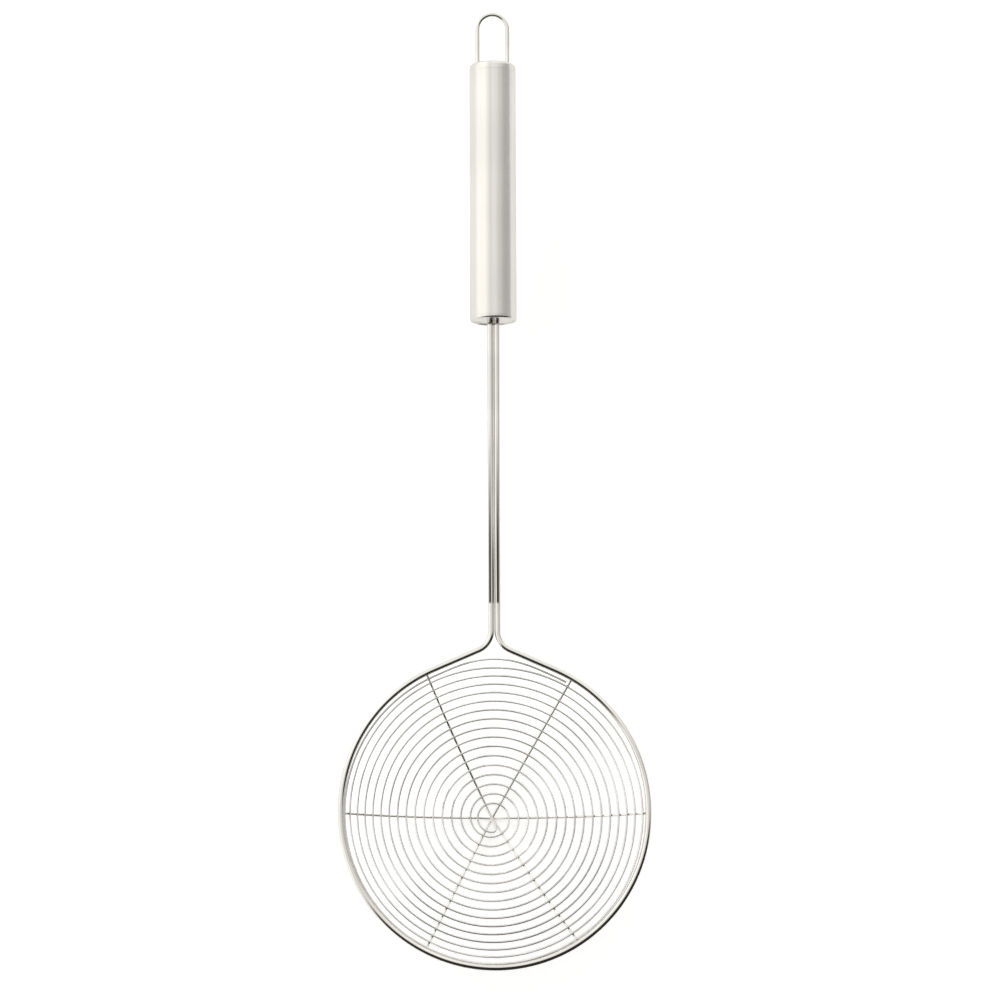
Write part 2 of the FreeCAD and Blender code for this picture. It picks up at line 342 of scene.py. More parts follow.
def streak_group():
    """Fine lines that run along a drawn wire or a brushed tube."""
    name = "Lengthwise Streaks"
    if name in bpy.data.node_groups:
        return bpy.data.node_groups[name]
    tree, given, result = new_tree(name, "ShaderNodeTree", {
        "Grain": "NodeSocketVector", "Across": "NodeSocketFloat", "Along": "NodeSocketFloat",
        "Contrast": "NodeSocketFloat"}, {"Streak": "NodeSocketFloat"})
    stretch = put(tree, "ShaderNodeCombineXYZ", {
        "X": given.outputs["Across"], "Y": given.outputs["Across"], "Z": given.outputs["Along"]})
    stretched = put(tree, "ShaderNodeVectorMath", {
        0: given.outputs["Grain"], 1: stretch.outputs["Vector"]}, operation="MULTIPLY")
    noise = put(tree, "ShaderNodeTexNoise", {
        "Vector": stretched.outputs["Vector"], "Scale": 1.0, "Detail": STREAK_DETAIL,
        "Roughness": STREAK_ROUGHNESS})
    centred = maths(tree, "SUBTRACT", noise.outputs["Fac"], NOISE_MIDDLE)
    spread = maths(tree, "MULTIPLY_ADD", centred, given.outputs["Contrast"], NOISE_MIDDLE, clamp=True)
    tree.links.new(spread, result.inputs["Streak"])
    return tree


def smudge_group():
    """Soft cloudy patches where the steel is a little darker."""
    name = "Handling Smudges"
    if name in bpy.data.node_groups:
        return bpy.data.node_groups[name]
    tree, given, result = new_tree(name, "ShaderNodeTree", {
        "Place": "NodeSocketVector", "Patches Per Metre": "NodeSocketFloat"},
        {"Smudge": "NodeSocketFloat"})
    noise = put(tree, "ShaderNodeTexNoise", {
        "Vector": given.outputs["Place"], "Scale": given.outputs["Patches Per Metre"],
        "Detail": SMUDGE_DETAIL, "Roughness": SMUDGE_ROUGHNESS})
    spread = ramp(tree, noise.outputs["Fac"], SMUDGE_STARTS, SMUDGE_FULL, shape="SMOOTHSTEP")
    tree.links.new(spread, result.inputs["Smudge"])
    return tree


def line_group():
    """Mask of a soft line along Y at one x; core is half the width of its full middle."""
    name = "Lengthwise Line"
    if name in bpy.data.node_groups:
        return bpy.data.node_groups[name]
    tree, given, result = new_tree(name, "ShaderNodeTree", {
        "Place": "NodeSocketVector", "Middle": "NodeSocketFloat", "Half Width": "NodeSocketFloat",
        "Core": "NodeSocketFloat"}, {"Line": "NodeSocketFloat"})
    place = put(tree, "ShaderNodeSeparateXYZ", {"Vector": given.outputs["Place"]})
    beside = maths(tree, "SUBTRACT", place.outputs["X"], given.outputs["Middle"])
    apart = maths(tree, "ABSOLUTE", beside)
    line = ramp(tree, apart, given.outputs["Half Width"], given.outputs["Core"], shape="SMOOTHSTEP")
    tree.links.new(line, result.inputs["Line"])
    return tree


def line_mask(tree, middle_x, half_width, core):
    """The line effect, placed in a material."""
    line = put(tree, "ShaderNodeGroup", {
        "Place": object_place(tree), "Middle": middle_x, "Half Width": half_width, "Core": core},
        node_tree=line_group())
    return line.outputs["Line"]


def paint_reflection(material, mask, colour):
    """Mixes a colour over a steel's own colour where a mask says, to paint dark reflection lines."""
    tree = material.node_tree
    base = tree.nodes["Principled BSDF"].inputs["Base Color"]
    tree.links.new(blend(tree, mask, base.links[0].from_socket, opaque(colour)), base)


# Materials

def steel(name, colour, smudge_share, roughness, across, along, patches, grain="wire_grain"):
    """Steel with roughness from least to most in streaks, and smudges with a share of its colour."""
    material = bpy.data.materials.new(name)
    material.use_nodes = True
    tree = material.node_tree
    shader = tree.nodes["Principled BSDF"]
    shader.inputs["Metallic"].default_value = 1.0
    shader.inputs["Specular Tint"].default_value = opaque(EDGE_TINT)
    grain_place = put(tree, "ShaderNodeAttribute", {}, attribute_name=grain)
    streak = put(tree, "ShaderNodeGroup", {
        "Grain": grain_place.outputs["Vector"], "Across": across, "Along": along,
        "Contrast": STREAK_CONTRAST}, node_tree=streak_group())
    smudge = put(tree, "ShaderNodeGroup", {
        "Place": object_place(tree), "Patches Per Metre": patches}, node_tree=smudge_group())
    tone = blend(tree, smudge.outputs["Smudge"], opaque(colour), opaque(colour, smudge_share))
    least, most = roughness
    dull = ramp(tree, streak.outputs["Streak"], 0.0, 1.0, least, most)
    tree.links.new(tone, shader.inputs["Base Color"])
    tree.links.new(dull, shader.inputs["Roughness"])
    return material


def bright_drawn_steel(finish):
    """Polished wire of the rim, shank and loop, with painted dark reflection lines along the lower
    shank.
    """
    material = steel(
        "bright_drawn_steel", finish.polished_colour, smudge_share=0.90, roughness=(0.05, 0.14),
        across=2600, along=14, patches=28)
    tree = material.node_tree
    y = put(tree, "ShaderNodeSeparateXYZ", {"Vector": object_place(tree)}).outputs["Y"]
    # Painted reflection: dark lines where the lower shank mirrors a dark front
    lines = 0.0
    for line in LEG_REFLECTION_LINES:
        half_width = line["half_width"]
        mask = line_mask(tree, line["middle_x"], half_width, half_width * LEG_LINE_CORE_SHARE)
        fade = ramp(
            tree, y, LEG_LINES_LOW + line["gone_at"], LEG_LINES_LOW + line["full_to"],
            shape="SMOOTHSTEP")
        lines = maths(tree, "ADD", maths(tree, "MULTIPLY", mask, fade), lines)
    start = ramp(tree, y, LEG_LINES_LOW - LEG_LINES_END, LEG_LINES_LOW, shape="SMOOTHSTEP")
    paint_reflection(material, maths(tree, "MULTIPLY", lines, start), finish.painted_reflection_colour)


def grey_drawn_steel(finish):
    """Thin wire of the wound basket."""
    steel(
        "grey_drawn_steel", finish.basket_colour, smudge_share=0.85, roughness=(0.05, 0.13),
        across=3500, along=20, patches=60)


def brown_drawn_steel(finish):
    """Wire of the spokes."""
    steel(
        "brown_drawn_steel", finish.spoke_colour, smudge_share=0.85, roughness=(0.06, 0.16),
        across=3000, along=20, patches=70)


def brushed_steel(finish):
    """Satin steel of the tube and caps, with one faint painted dark reflection line."""
    material = steel(
        "brushed_steel", finish.satin_colour, smudge_share=0.95, roughness=(0.20, 0.30),
        across=900, along=9, patches=22)
    tree = material.node_tree
    # Painted reflection: one faint dark line along the tube
    line = line_mask(tree, TUBE_REFLECTION_X, TUBE_REFLECTION_HALF_WIDTH, 0.0)
    paint_reflection(material, maths(tree, "MULTIPLY", line, TUBE_REFLECTION_SHARE), finish.painted_reflection_colour)


def burnt_weld(finish):
    """Weld specks of rough steel, painted dark for the contact shade where the wound wire crosses a
    spoke.
    """
    steel(
        "burnt_weld", finish.weld_and_shade_colour, smudge_share=0.5, roughness=(0.35, 0.6),
        across=1500, along=1500, patches=900, grain="position")


def finishes():
    """Makes the materials on first use and returns them by name."""
    if "bright_drawn_steel" not in bpy.data.materials:
        finish = bpy.context.scene.skimmer_finish
        bright_drawn_steel(finish)
        grey_drawn_steel(finish)
        brown_drawn_steel(finish)
        brushed_steel(finish)
        burnt_weld(finish)
    return bpy.data.materials


# Paths

def bowl_point(sphere, heading, lean):
    """Point on a sphere about the bowl's centre; lean is the angle away from the pole."""
    out = sphere * math.sin(lean)
    down = sphere * math.cos(lean)
    return BOWL_CENTRE + Vector((out * math.cos(heading), out * math.sin(heading), -down))


def uphill(heading, lean):
    """Direction straight up the bowl's wall."""
    level = math.cos(lean)
    return Vector((level * math.cos(heading), level * math.sin(heading), math.sin(lean)))


def eased(start, start_way, end, end_way, steps):
    """Points of a cubic curve that leaves and arrives along two ways, without the last point."""
    points = []
    for step in range(steps):
        share = step / steps
        back = 1 - share
        points.append(
            start * (back * back * (1 + 2 * share)) + start_way * (share * back * back)
            + end * (share * share * (3 - 2 * share)) - end_way * (share * share * back))
    return points


def rim_path():
    """One wire: down a shank leg, round the rim and up the other leg."""
    half = [Vector((LEG_X, RIM_HIGH.y, AXIS_Z))]
    bend_centre = Vector((LEG_X + NECK_BEND_RADIUS, NECK_START_Y, AXIS_Z))
    for step in range(BEND_STEPS + 1):
        turn = NECK_TURN * step / BEND_STEPS
        half.append(bend_centre - NECK_BEND_RADIUS * Vector((math.cos(turn), math.sin(turn), 0)))
    for centre_y, start, end in ((RIM_Y + RIM_SIDE, NECK_TURN, 0), (RIM_Y, 0, -math.pi / 2)):
        centre = Vector((0, centre_y, AXIS_Z))
        for step in range(RIM_STEPS + 1):
            angle = start + (end - start) * step / RIM_STEPS
            half.append(centre + RIM_RADIUS * Vector((math.cos(angle), math.sin(angle), 0)))
    mirrored = [Vector((-point.x, point.y, point.z)) for point in reversed(half[:-1])]
    return half + mirrored


def spoke_end_lean(heading):
    """How far up the bowl a spoke ends, just short of the rim, which is a little longer than wide."""
    rim_out = RIM_RADIUS + RIM_SIDE * max(math.sin(heading), 0)
    return math.atan2(rim_out, SPOKE_SPHERE - BOWL_DEPTH) - SPOKE_END_BACK


def spoke_path(headings, layer):
    """Down one wall, under the spokes above it at the pole, and up the other wall."""
    near, far = headings
    near_end = spoke_end_lean(near)
    far_end = spoke_end_lean(far)
    dip_lean = SPOKE_DIP_REACH / SPOKE_SPHERE
    near_dip = bowl_point(SPOKE_SPHERE, near, dip_lean)
    near_way = -uphill(near, dip_lean) * SPOKE_DIP_REACH
    far_dip = bowl_point(SPOKE_SPHERE, far, dip_lean)
    far_way = uphill(far, dip_lean) * SPOKE_DIP_REACH
    crossing = bowl_point(SPOKE_SPHERE, 0, 0) - UP * layer * SPOKE_STEP
    level_way = (uphill(far, 0) - uphill(near, 0)).normalized() * SPOKE_DIP_REACH
    points = []
    for step in range(SPOKE_STEPS):
        lean = near_end + (dip_lean - near_end) * step / SPOKE_STEPS
        points.append(bowl_point(SPOKE_SPHERE, near, lean))
    points += eased(near_dip, near_way, crossing, level_way, DIP_STEPS)
    points += eased(crossing, level_way, far_dip, far_way, DIP_STEPS)
    for step in range(SPOKE_STEPS + 1):
        lean = dip_lean + (far_end - dip_lean) * step / SPOKE_STEPS
        points.append(bowl_point(SPOKE_SPHERE, far, lean))
    return points


def winding(wire):
    """Sphere and pitch of the wound wire for a wire diameter, so that it ends under the rim."""
    radius = wire / 2
    sphere = SPOKE_SPHERE - SPOKE_RADIUS - radius - WELD_GAP
    rim_sphere = SPOKE_SPHERE - SPOKE_END_DROP
    clearance = RIM_WIRE_RADIUS + radius + WELD_GAP
    apart = math.acos((rim_sphere ** 2 + sphere ** 2 - clearance ** 2) / (2 * rim_sphere * sphere))
    pitch = ((RIM_LEAN - apart) * sphere - FIRST_TURN_RADIUS) / RISING_TURNS
    return sphere, pitch


def turn_heading(turn):
    """Compass heading of the wound wire, clockwise as it rises."""
    return math.pi / 2 - 2 * math.pi * turn


def turn_lean(turn, sphere, pitch):
    """How far up the bowl a turn of the wound wire lies."""
    grown = min(max(turn, 0), RISING_TURNS)
    return (FIRST_TURN_RADIUS + pitch * grown) / sphere


def spiral_point(turn, sphere, pitch):
    """Point of the wound wire, with its bulge into the neck on the last turn."""
    heading = turn_heading(turn)
    point = bowl_point(sphere, heading, turn_lean(turn, sphere, pitch))
    from_neck = abs(turn - NECK_TURN_NUMBER) / NECK_BULGE_TURNS
    if from_neck < 1:
        point += uphill(heading, 0) * NECK_BULGE * (1 + math.cos(math.pi * from_neck)) / 2
    return point


def spiral_path(wire):
    """The whole wound wire, from its tail at the pole to its end beside the neck."""
    sphere, pitch = winding(wire)
    tail_end = bowl_point(sphere, 0, 0) + TAIL_END - UP * TAIL_TUCK
    tail_way = uphill(TAIL_HEADING, TAIL_RISE) * TAIL_PULL
    ring = spiral_point(TAIL_START_TURN, sphere, pitch)
    ring_way = uphill(turn_heading(TAIL_START_TURN) - math.pi / 2, 0) * TAIL_PULL
    points = eased(tail_end, tail_way, ring, ring_way, TAIL_STEPS)
    turns = LAST_TURN - TAIL_START_TURN
    steps = round(turns * SPIRAL_STEPS_PER_TURN)
    for step in range(steps + 1):
        points.append(spiral_point(TAIL_START_TURN + turns * step / steps, sphere, pitch))
    return points


def weld_places(wire):
    """Where the wound wire crosses the spokes, and which way each spoke runs there."""
    sphere, pitch = winding(wire)
    contact = SPOKE_SPHERE - SPOKE_RADIUS - WELD_GAP / 2
    places = []
    ways = []
    for headings in SPOKE_HEADINGS.values():
        for heading in headings:
            turn = ((math.pi / 2 - heading) / (2 * math.pi)) % 1
            while turn < LAST_TURN - NECK_BULGE_TURNS:
                lean = turn_lean(turn, sphere, pitch)
                places.append(bowl_point(contact, heading, lean))
                ways.append(uphill(heading, lean))
                turn += 1
    return places, ways


def loop_path():
    """Two legs joined by a half circle."""
    top_centre = Vector((0, LOOP_HIGH.y - LOOP_WIRE_RADIUS - LOOP_RADIUS, AXIS_Z))
    points = [Vector((LOOP_RADIUS, LOOP_LOW.y, AXIS_Z))]
    for step in range(LOOP_STEPS + 1):
        angle = math.pi * step / LOOP_STEPS
        points.append(top_centre + LOOP_RADIUS * Vector((math.cos(angle), math.sin(angle), 0)))
    points.append(Vector((-LOOP_RADIUS, LOOP_LOW.y, AXIS_Z)))
    return points


# Geometry Nodes trees

def finish_tree(tree, made, given, end):
    """Last nodes of each tree: real geometry, smooth shading and its finish."""
    real = put(tree, "GeometryNodeRealizeInstances", {"Geometry": made})
    smooth = put(tree, "GeometryNodeSetShadeSmooth", {"Geometry": real.outputs["Geometry"]})
    dressed = put(tree, "GeometryNodeSetMaterial", {
        "Geometry": smooth.outputs["Geometry"], "Material": given.outputs["Finish"]})
    tree.links.new(dressed.outputs["Geometry"], end)


def captured(tree, geometry, kind, name, value):
    """Keeps a value of each point of a geometry; returns the geometry and the kept value."""
    kept = tree.nodes.new("GeometryNodeCaptureAttribute")
    kept.capture_items.new(kind, name)
    tree.links.new(geometry, kept.inputs["Geometry"])
    tree.links.new(value, kept.inputs[name])
    return kept.outputs["Geometry"], kept.outputs[name]


def wire_tree():
    """Sweeps a round section along a chain of edges and keeps where each point lies on the wire."""
    name = "Wire Along Path"
    if name in bpy.data.node_groups:
        return bpy.data.node_groups[name]
    tree, given, result = new_tree(name, "GeometryNodeTree", {
        "Path": "NodeSocketGeometry", "Wire Radius": "NodeSocketFloat",
        "Section Sides": "NodeSocketInt", "Finish": "NodeSocketMaterial"},
        {"Wire": "NodeSocketGeometry"})
    curve = put(tree, "GeometryNodeMeshToCurve", {"Mesh": given.outputs["Path"]})
    length = put(tree, "GeometryNodeSplineParameter", {})
    path, along = captured(tree, curve.outputs["Curve"], "FLOAT", "Along", length.outputs["Length"])
    section = put(tree, "GeometryNodeCurvePrimitiveCircle", {
        "Resolution": given.outputs["Section Sides"], "Radius": given.outputs["Wire Radius"]})
    place = put(tree, "GeometryNodeInputPosition", {})
    profile, around = captured(
        tree, section.outputs["Curve"], "VECTOR", "Around", place.outputs["Position"])
    swept = put(tree, "GeometryNodeCurveToMesh", {
        "Curve": path, "Profile Curve": profile, "Fill Caps": True})
    across = put(tree, "ShaderNodeSeparateXYZ", {"Vector": around})
    grain = put(tree, "ShaderNodeCombineXYZ", {
        "X": across.outputs["X"], "Y": across.outputs["Y"], "Z": along})
    stored = put(tree, "GeometryNodeStoreNamedAttribute", {
        "Geometry": swept.outputs["Mesh"], "Name": "wire_grain", "Value": grain.outputs["Vector"]},
        data_type="FLOAT_VECTOR", domain="POINT")
    finish_tree(tree, stored.outputs["Geometry"], given, result.inputs["Wire"])
    return tree


def weld_tree():
    """Sets a flattened speck on each point, turned along its spoke, with sizes that vary."""
    name = "Weld Specks"
    if name in bpy.data.node_groups:
        return bpy.data.node_groups[name]
    tree, given, result = new_tree(name, "GeometryNodeTree", {
        "Crossings": "NodeSocketGeometry", "Length": "NodeSocketFloat", "Width": "NodeSocketFloat",
        "Seed": "NodeSocketInt", "Finish": "NodeSocketMaterial"}, {"Welds": "NodeSocketGeometry"})
    speck = put(tree, "GeometryNodeMeshUVSphere", {
        "Segments": SPECK_SEGMENTS, "Rings": SPECK_RINGS, "Radius": UNIT_SPECK_RADIUS})
    way = put(tree, "GeometryNodeInputNamedAttribute", {"Name": "along_spoke"}, data_type="FLOAT_VECTOR")
    turned = put(tree, "FunctionNodeAlignRotationToVector", {
        "Vector": way.outputs["Attribute"]}, axis="X")
    vary = put(tree, "FunctionNodeRandomValue", {
        RANDOM_LEAST: WELD_LEAST_SHARE, RANDOM_MOST: WELD_MOST_SHARE, "Seed": given.outputs["Seed"]})
    sides = put(tree, "ShaderNodeCombineXYZ", {
        "X": given.outputs["Length"], "Y": given.outputs["Width"], "Z": given.outputs["Width"]})
    scale = put(tree, "ShaderNodeVectorMath", {
        0: sides.outputs["Vector"], "Scale": vary.outputs[RANDOM_FLOAT]}, operation="SCALE")
    placed_specks = put(tree, "GeometryNodeInstanceOnPoints", {
        "Points": given.outputs["Crossings"], "Instance": speck.outputs["Mesh"],
        "Rotation": turned.outputs["Rotation"], "Scale": scale.outputs["Vector"]})
    finish_tree(tree, placed_specks.outputs["Instances"], given, result.inputs["Welds"])
    return tree


# Making pieces

def placed(name, data):
    """A new object, linked to the scene."""
    made = bpy.data.objects.new(name, data)
    bpy.context.scene.collection.objects.link(made)
    return made


def source_object(name, points, edges):
    """A helper object of points and edges that a tree starts from."""
    mesh = bpy.data.meshes.new(name)
    mesh.from_pydata(points, edges, [])
    return placed(name, mesh)


def grown_mesh(source, tree, values):
    """Runs a tree on a source object, removes the source and returns the plain mesh."""
    modifier = source.modifiers.new(tree.name, "NODES")
    modifier.node_group = tree
    for item in tree.interface.items_tree:
        if item.name in values:
            modifier[item.identifier] = values[item.name]
    seen = source.evaluated_get(bpy.context.evaluated_depsgraph_get())
    mesh = bpy.data.meshes.new_from_object(seen)
    source.modifiers.remove(modifier)
    bpy.data.objects.remove(source)
    return mesh


def add_piece(name, mesh, slot, *nodes):
    """Puts a finished mesh in the scene, on its body, in place of its CAD nodes."""
    if not mesh.polygons:
        raise RuntimeError(name + " has no faces")
    mesh.name = name
    mesh.set_sharp_from_angle(angle=SHARP_ANGLE)
    piece = placed(name, mesh)
    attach(piece, BODY)
    if nodes:
        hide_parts(*nodes)


def wire_piece(name, points, radius, sides, finish, slot, node):
    """A round wire along a path of points."""
    edges = [(number, number + 1) for number in range(len(points) - 1)]
    path = source_object(name + "_path", points, edges)
    mesh = grown_mesh(path, wire_tree(), {
        "Wire Radius": radius, "Section Sides": sides, "Finish": finish})
    add_piece(name, mesh, slot, node)


def rounding(radius_from, y_from, radius_to, y_to, radius_first=False):
    """Quarter ellipse of a turned outline; it sets off along Y, or along the radius."""
    points = []
    for step in range(ROUNDING_STEPS + 1):
        angle = math.pi / 2 * step / ROUNDING_STEPS
        y_share = math.sin(angle)
        radius_share = 1 - math.cos(angle)
        if radius_first:
            y_share, radius_share = radius_share, y_share
        radius = radius_from + (radius_to - radius_from) * radius_share
        points.append((radius, y_from + (y_to - y_from) * y_share))
    return points


def turned_mesh(name, outline, finish):
    """Turns a closed outline of (radius, y) points about the handle's axis."""
    form = bmesh.new()
    rings = []
    for radius, y in outline:
        ring = []
        for step in range(LATHE_STEPS):
            angle = 2 * math.pi * step / LATHE_STEPS
            place = (radius * math.sin(angle), y, AXIS_Z + radius * math.cos(angle))
            ring.append(form.verts.new(place))
        rings.append(ring)
    for ring, following in zip(rings, rings[1:] + rings[:1]):
        for step in range(LATHE_STEPS):
            after = (step + 1) % LATHE_STEPS
            form.faces.new((ring[step], ring[after], following[after], following[step]))
    bmesh.ops.remove_doubles(form, verts=form.verts, dist=MERGE_DISTANCE)
    bmesh.ops.recalc_face_normals(form, faces=form.faces)
    grain = form.verts.layers.float_vector.new("wire_grain")
    for vert in form.verts:
        vert[grain] = Vector((vert.co.x, vert.co.z - AXIS_Z, vert.co.y))
    mesh = bpy.data.meshes.new(name)
    form.to_mesh(mesh)
    form.free()
    mesh.shade_smooth()
    mesh.materials.append(finish)
    return mesh


def drill(x, radius, y_from, y_to):
    """A round cutter along Y."""
    form = bmesh.new()
    bmesh.ops.create_cone(
        form, cap_ends=True, segments=CUTTER_SIDES, radius1=radius, radius2=radius, depth=y_to - y_from)
    middle_y = (y_from + y_to) / 2
    for vert in form.verts:
        vert.co = Vector((x + vert.co.x, middle_y + vert.co.z, AXIS_Z - vert.co.y))
    mesh = bpy.data.meshes.new("drill")
    form.to_mesh(mesh)
    form.free()
    return placed("drill", mesh)


def drilled(mesh, hole_x, hole_radius, y_from, y_to):
    """Cuts two round holes along Y, one on each side of the axis."""
    block = placed("drilled_block", mesh)
    cutters = [drill(side * hole_x, hole_radius, y_from, y_to) for side in (-1, 1)]
    for cutter in cutters:
        cut = block.modifiers.new("Hole", "BOOLEAN")
        cut.operation = "DIFFERENCE"
        cut.solver = "EXACT"
        cut.object = cutter
    seen = block.evaluated_get(bpy.context.evaluated_depsgraph_get())
    result = bpy.data.meshes.new_from_object(seen)
    for helper in (block, *cutters):
        bpy.data.objects.remove(helper)
    return result


# Turned outlines

def tube_outline():
    """The handle tube, with a fine bevel on its outer edges that shows as a seam."""
    return [
        (TUBE_BORE, TUBE_LOW.y),
        (TUBE_RADIUS - SEAM_DEPTH, TUBE_LOW.y),
        (TUBE_RADIUS, TUBE_LOW.y + SEAM_WIDTH),
        (TUBE_RADIUS, TUBE_HIGH.y - SEAM_WIDTH),
        (TUBE_RADIUS - SEAM_DEPTH, TUBE_HIGH.y),
        (TUBE_BORE, TUBE_HIGH.y),
    ]


def upper_cap_outline():
    """A round-shouldered cap on a hollow spigot."""
    shoulder = rounding(
        TUBE_RADIUS, UPPER_CAP_HIGH.y - SHOULDER, TUBE_RADIUS - SHOULDER, UPPER_CAP_HIGH.y)
    return [
        (0, UPPER_CAP_HIGH.y),
        *reversed(shoulder),
        (TUBE_RADIUS, TUBE_HIGH.y + SEAM_WIDTH),
        (TUBE_RADIUS - SEAM_DEPTH, TUBE_HIGH.y),
        (SPIGOT_RADIUS, TUBE_HIGH.y),
        (SPIGOT_RADIUS, UPPER_CAP_LOW.y),
        (SPIGOT_BORE, UPPER_CAP_LOW.y),
        (SPIGOT_BORE, TUBE_HIGH.y),
        (0, TUBE_HIGH.y),
    ]


def lower_cap_outline():
    """A cap with a lip round a sunk disc, on a hollow spigot."""
    dish_y = LOWER_CAP_LOW.y + DISH_DEPTH
    disc_back = dish_y + DISC_THICKNESS
    lip_radius = TUBE_RADIUS - LIP_ROUNDING
    lip_back = LOWER_CAP_LOW.y + LIP_ROUNDING
    return [
        (0, dish_y),
        *rounding(lip_radius - DISH_DEPTH, dish_y, lip_radius, LOWER_CAP_LOW.y, radius_first=True),
        *rounding(lip_radius, LOWER_CAP_LOW.y, TUBE_RADIUS, lip_back, radius_first=True),
        (TUBE_RADIUS, TUBE_LOW.y - SEAM_WIDTH),
        (TUBE_RADIUS - SEAM_DEPTH, TUBE_LOW.y),
        (SPIGOT_RADIUS, TUBE_LOW.y),
        (SPIGOT_RADIUS, LOWER_CAP_HIGH.y),
        (SPIGOT_BORE, LOWER_CAP_HIGH.y),
        (SPIGOT_BORE, disc_back),
        (0, disc_back),
    ]


# Studio

def pale_paper(colour):
    """Pale glowing paper, dark past a line in front to the wires that mirror it."""
    paper = bpy.data.materials.new("pale_paper")
    paper.use_nodes = True
    tree = paper.node_tree
    shader = tree.nodes["Principled BSDF"]
    ahead = reach(tree, object_place(tree), DARK_FLOOR_WAY)
    beyond = ramp(tree, ahead, DARK_FLOOR_START, DARK_FLOOR_FULL)
    mirrored = put(tree, "ShaderNodeLightPath", {}).outputs["Is Glossy Ray"]
    mask = maths(tree, "MULTIPLY", beyond, mirrored)
    seen = blend(tree, mask, opaque(colour), opaque(colour, DARK_FLOOR_SHARE))
    tree.links.new(seen, shader.inputs["Base Color"])
    tree.links.new(seen, shader.inputs["Emission Color"])
    shader.inputs["Emission Strength"].default_value = FLOOR_GLOW
    shader.inputs["Roughness"].default_value = FLOOR_ROUGHNESS
    return paper


def studio_floor(colour):
    """A square floor, just below the part."""
    half = FLOOR_SIDE / 2
    square = ((-half, -half), (half, -half), (half, half), (-half, half))
    corners = [(x, y, -FLOOR_DROP) for x, y in square]
    mesh = bpy.data.meshes.new("studio_floor")
    mesh.from_pydata(corners, [], [range(len(corners))])
    mesh.materials.append(pale_paper(colour))
    floor = placed("studio_floor", mesh)


def dome_patch(tree, direction, toward, edge, core):
    """Mask of a round patch of the dome; edge and core are cosines of the angle from its middle."""
    near = reach(tree, direction, Vector(toward).normalized())
    return ramp(tree, near, edge, core, shape="SMOOTHSTEP")


def studio_world(scene):
    """A light tent, bright all round but for the changes that its patches make."""
    world = bpy.data.worlds.new("light_tent")
    scene.world = world
    world.use_nodes = True
    tree = world.node_tree
    direction = put(tree, "ShaderNodeTexCoord", {}).outputs["Generated"]
    overhead = dome_patch(tree, direction, UP, 0.0, TENT_TOP_CORE)
    level = ramp(tree, overhead, 0.0, 1.0, TENT_LOW_LEVEL, TENT_TOP_LEVEL)
    for toward, edge, core, change in TENT_PATCHES.values():
        patch = dome_patch(tree, direction, toward, edge, core)
        level = maths(tree, "MULTIPLY", level, ramp(tree, patch, 0.0, 1.0, 1.0, change))
    background = tree.nodes["Background"]
    background.inputs["Color"].default_value = opaque(TENT_COLOUR)
    tree.links.new(level, background.inputs["Strength"])


def top_softbox():
    """A big square light overhead, aimed at the origin of the frame."""
    data = bpy.data.lights.new("top_softbox", "AREA")
    data.shape = "SQUARE"
    data.size = SOFTBOX_SIDE
    data.energy = SOFTBOX_POWER
    light = placed("top_softbox", data)
    light.location = SOFTBOX_PLACE
    light.rotation_euler = (-SOFTBOX_PLACE).to_track_quat("-Z", "Y").to_euler()


def studio_camera(scene, distance):
    """Perspective camera placed by azimuth, elevation and roll about the aim."""
    data = bpy.data.cameras.new("photo_camera")
    data.sensor_width = SENSOR_WIDTH
    data.lens = SENSOR_WIDTH * distance / PICTURE_WIDTH
    data.dof.use_dof = False
    camera = placed("photo_camera", data)
    level = math.cos(CAMERA_ELEVATION)
    back = Vector((
        level * math.sin(CAMERA_AZIMUTH), -level * math.cos(CAMERA_AZIMUTH), math.sin(CAMERA_ELEVATION)))
    camera.rotation_euler = (math.pi / 2 - CAMERA_ELEVATION, 0, CAMERA_AZIMUTH)
    camera.rotation_euler.rotate_axis("Z", CAMERA_ROLL)
    camera.location = CAMERA_AIM + back * distance
    scene.camera = camera


# Operators

class SKIMMER_OT_rim(bpy.types.Operator):
    """Bends the rim and both shank legs from one polished wire"""
    bl_idname = "skimmer.rim"
    bl_label = "Rim and shank"

    def execute(self, context):
        wire_piece(
            "rim_and_shank", rim_path(), RIM_WIRE_RADIUS, THICK_SIDES, finishes()["bright_drawn_steel"],
            "polished_wire", "rim_and_shank_wire")
        return {"FINISHED"}


class SKIMMER_OT_spokes(bpy.types.Operator):
    """Lays the three spokes over each other under the bowl"""
    bl_idname = "skimmer.spokes"
    bl_label = "Spokes"

    def execute(self, context):
        for layer, (node, headings) in enumerate(SPOKE_HEADINGS.items()):
            wire_piece(
                "round_" + node, spoke_path(headings, layer), SPOKE_RADIUS, SPOKE_SIDES,
                finishes()["brown_drawn_steel"], "basket_wire", node)
        return {"FINISHED"}


class SKIMMER_OT_spiral(bpy.types.Operator):
    """Winds the basket wire from its tail at the pole out to the rim"""
    bl_idname = "skimmer.spiral"
    bl_label = "Wound basket"

    def execute(self, context):
        wire = context.scene.skimmer_sizes.spiral_wire
        wire_piece(
            "wound_basket", spiral_path(wire), wire / 2, SPIRAL_SIDES, finishes()["grey_drawn_steel"],
            "basket_wire", "spiral_wire")
        return {"FINISHED"}


class SKIMMER_OT_welds(bpy.types.Operator):
    """Sets a weld speck wherever the wound wire crosses a spoke; its dark colour is painted shade"""
    bl_idname = "skimmer.welds"
    bl_label = "Weld specks"

    def execute(self, context):
        sizes = context.scene.skimmer_sizes
        places, ways = weld_places(sizes.spiral_wire)
        source = source_object("crossings", places, [])
        attribute = source.data.attributes.new("along_spoke", "FLOAT_VECTOR", "POINT")
        for value, way in zip(attribute.data, ways):
            value.vector = way
        mesh = grown_mesh(source, weld_tree(), {
            "Length": sizes.weld_length, "Width": sizes.spiral_wire, "Seed": sizes.weld_seed,
            "Finish": finishes()["burnt_weld"]})
        add_piece("weld_specks", mesh, "basket_wire")
        return {"FINISHED"}


